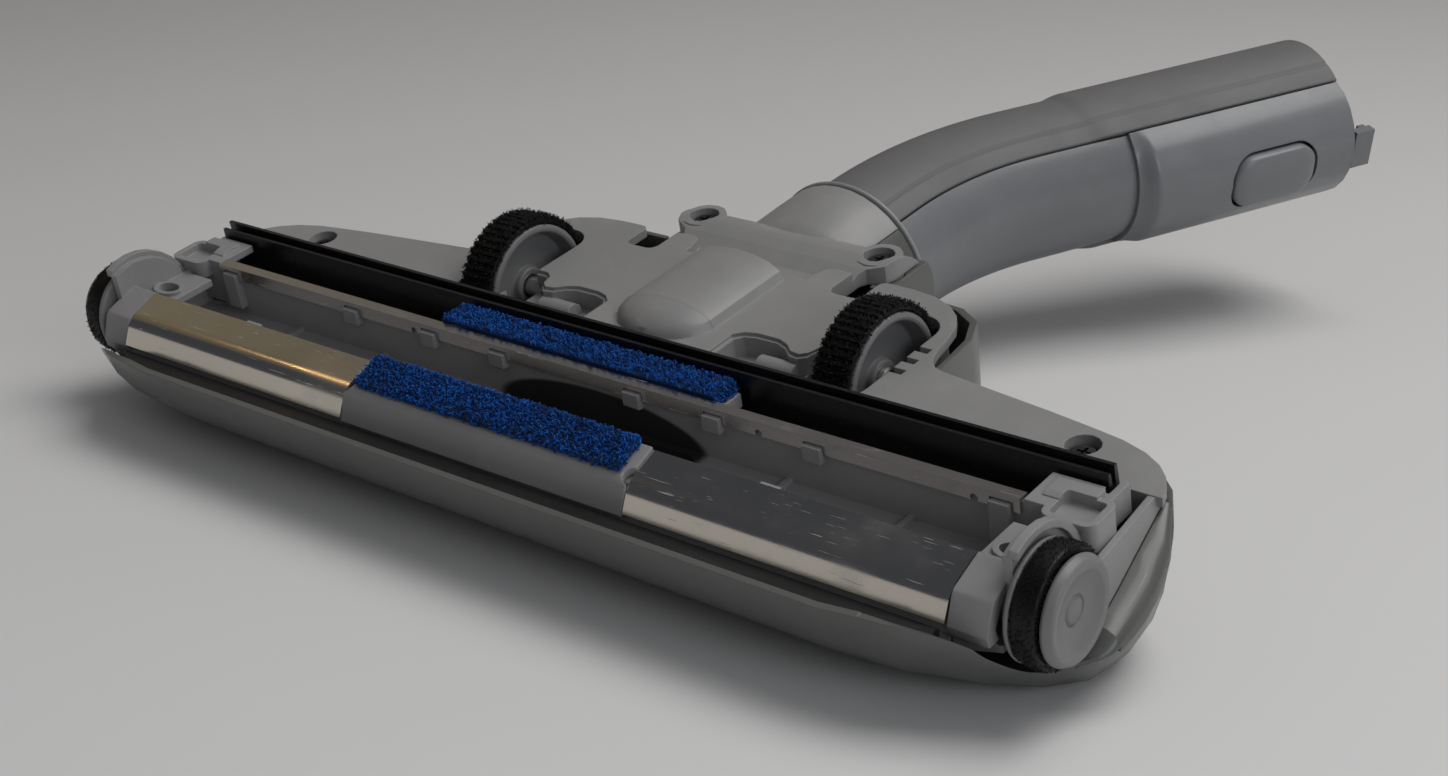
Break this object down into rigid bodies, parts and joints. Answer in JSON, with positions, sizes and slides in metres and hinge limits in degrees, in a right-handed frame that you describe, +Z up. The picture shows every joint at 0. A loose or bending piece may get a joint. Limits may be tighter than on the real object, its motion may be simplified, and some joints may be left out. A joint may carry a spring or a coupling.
{
  "type": "carpet sweeper",
  "caption": "Wide suction floor head for carpet and hard floor, shown sole up: sliding steel plates, lint pads, rubber flap, rollers, and a bent swivel tube with a release latch.",
  "frame": {"origin": "middle of the cover's flat crown face, on which the upturned head rests", "axes": "+Z up, out of the upturned sole side; +X along the head's width, to the right seen from the front lip; +Y from the front lip towards the neck"},
  "size_m": [0.2824, 0.2943, 0.073],
  "materials": {
    "cover_plastic": "glossy moulded ABS, green-grey",
    "sole_plastic": "satin moulded ABS, warm grey",
    "frame_plastic": "satin moulded plastic, light grey",
    "elbow_dark_plastic": "satin moulded plastic, warm dark grey",
    "elbow_cool_plastic": "satin moulded plastic, cool blue-grey",
    "slide_steel": "polished stainless sheet, lightly scratched",
    "strip_steel": "polished stainless strip",
    "spring_steel": "bright drawn steel wire and pins",
    "screw_steel": "blackened steel",
    "axle_steel": "bright turned steel",
    "velour": "blue nap velour, loops lying one way",
    "flap_rubber": "glossy black rubber lips",
    "seal_rubber": "matt black strip",
    "tyre_felt": "black felt pile on ribs"
  },
  "bodies": {
    "floor_head": {"top_cover": "cover_plastic", "base_plate": "sole_plastic", "sole_frame": "frame_plastic", "slide_plate_left": "slide_steel", "slide_plate_right": "slide_steel", "front_pad_carrier": "frame_plastic", "front_lint_pad": "velour", "rear_strip": "strip_steel", "rear_lint_pad": "velour", "rubber_flap": "flap_rubber", "front_seal_strip": "seal_rubber", "collar_ring": "frame_plastic", "sole_screw_left": "screw_steel", "sole_screw_right": "screw_steel", "neck_screw_left": "screw_steel", "neck_screw_right": "screw_steel", "rear_axle_left": "axle_steel", "front_axle_left": "axle_steel", "rear_axle_right": "axle_steel", "front_axle_right": "axle_steel"},
    "rear_wheel_left": {"rear_wheel_hub_left": "frame_plastic", "rear_wheel_tyre_left": "tyre_felt"},
    "rear_wheel_right": {"rear_wheel_hub_right": "frame_plastic", "rear_wheel_tyre_right": "tyre_felt"},
    "front_wheel_left": {"front_wheel_hub_left": "frame_plastic", "front_wheel_tyre_left": "tyre_felt"},
    "front_wheel_right": {"front_wheel_hub_right": "frame_plastic", "front_wheel_tyre_right": "tyre_felt"},
    "elbow": {"swivel_tube": "frame_plastic", "swivel_seal": "tyre_felt", "elbow_outer_shell": "elbow_dark_plastic", "elbow_inner_shell": "elbow_cool_plastic", "latch_cover": "elbow_cool_plastic", "latch_pin": "spring_steel", "latch_spring": "spring_steel"},
    "latch": {"latch_lever": "elbow_cool_plastic", "release_button": "elbow_cool_plastic"}
  },
  "joints": [
    {"name": "rear_wheel_left_spin", "type": "hinge", "parent": "floor_head", "child": "rear_wheel_left", "pos_m": [-0.05275, 0.00792, 0.03154], "axis": [1, 0, 0], "continuous": true},
    {"name": "rear_wheel_right_spin", "type": "hinge", "parent": "floor_head", "child": "rear_wheel_right", "pos_m": [0.05275, 0.00792, 0.03154], "axis": [1, 0, 0], "continuous": true},
    {"name": "front_wheel_left_spin", "type": "hinge", "parent": "floor_head", "child": "front_wheel_left", "pos_m": [-0.1336, -0.04916, 0.02349], "axis": [1, 0, 0], "continuous": true},
    {"name": "front_wheel_right_spin", "type": "hinge", "parent": "floor_head", "child": "front_wheel_right", "pos_m": [0.1336, -0.04916, 0.02349], "axis": [1, 0, 0], "continuous": true},
    {"name": "neck_swivel", "type": "hinge", "parent": "floor_head", "child": "elbow", "pos_m": [0, 0.06897, 0.03143], "axis": [0, 0.9781, 0.2079], "range_deg": [-10.5, 169.5]},
    {"name": "latch_press", "type": "hinge", "parent": "elbow", "child": "latch", "pos_m": [0.06508, 0.19349, 0.04556], "axis": [0.1822, -0.2044, 0.9618], "range_deg": [-2, 0], "stiffness_Nm_per_rad": 1, "springref_deg": 1.72}
  ]
}
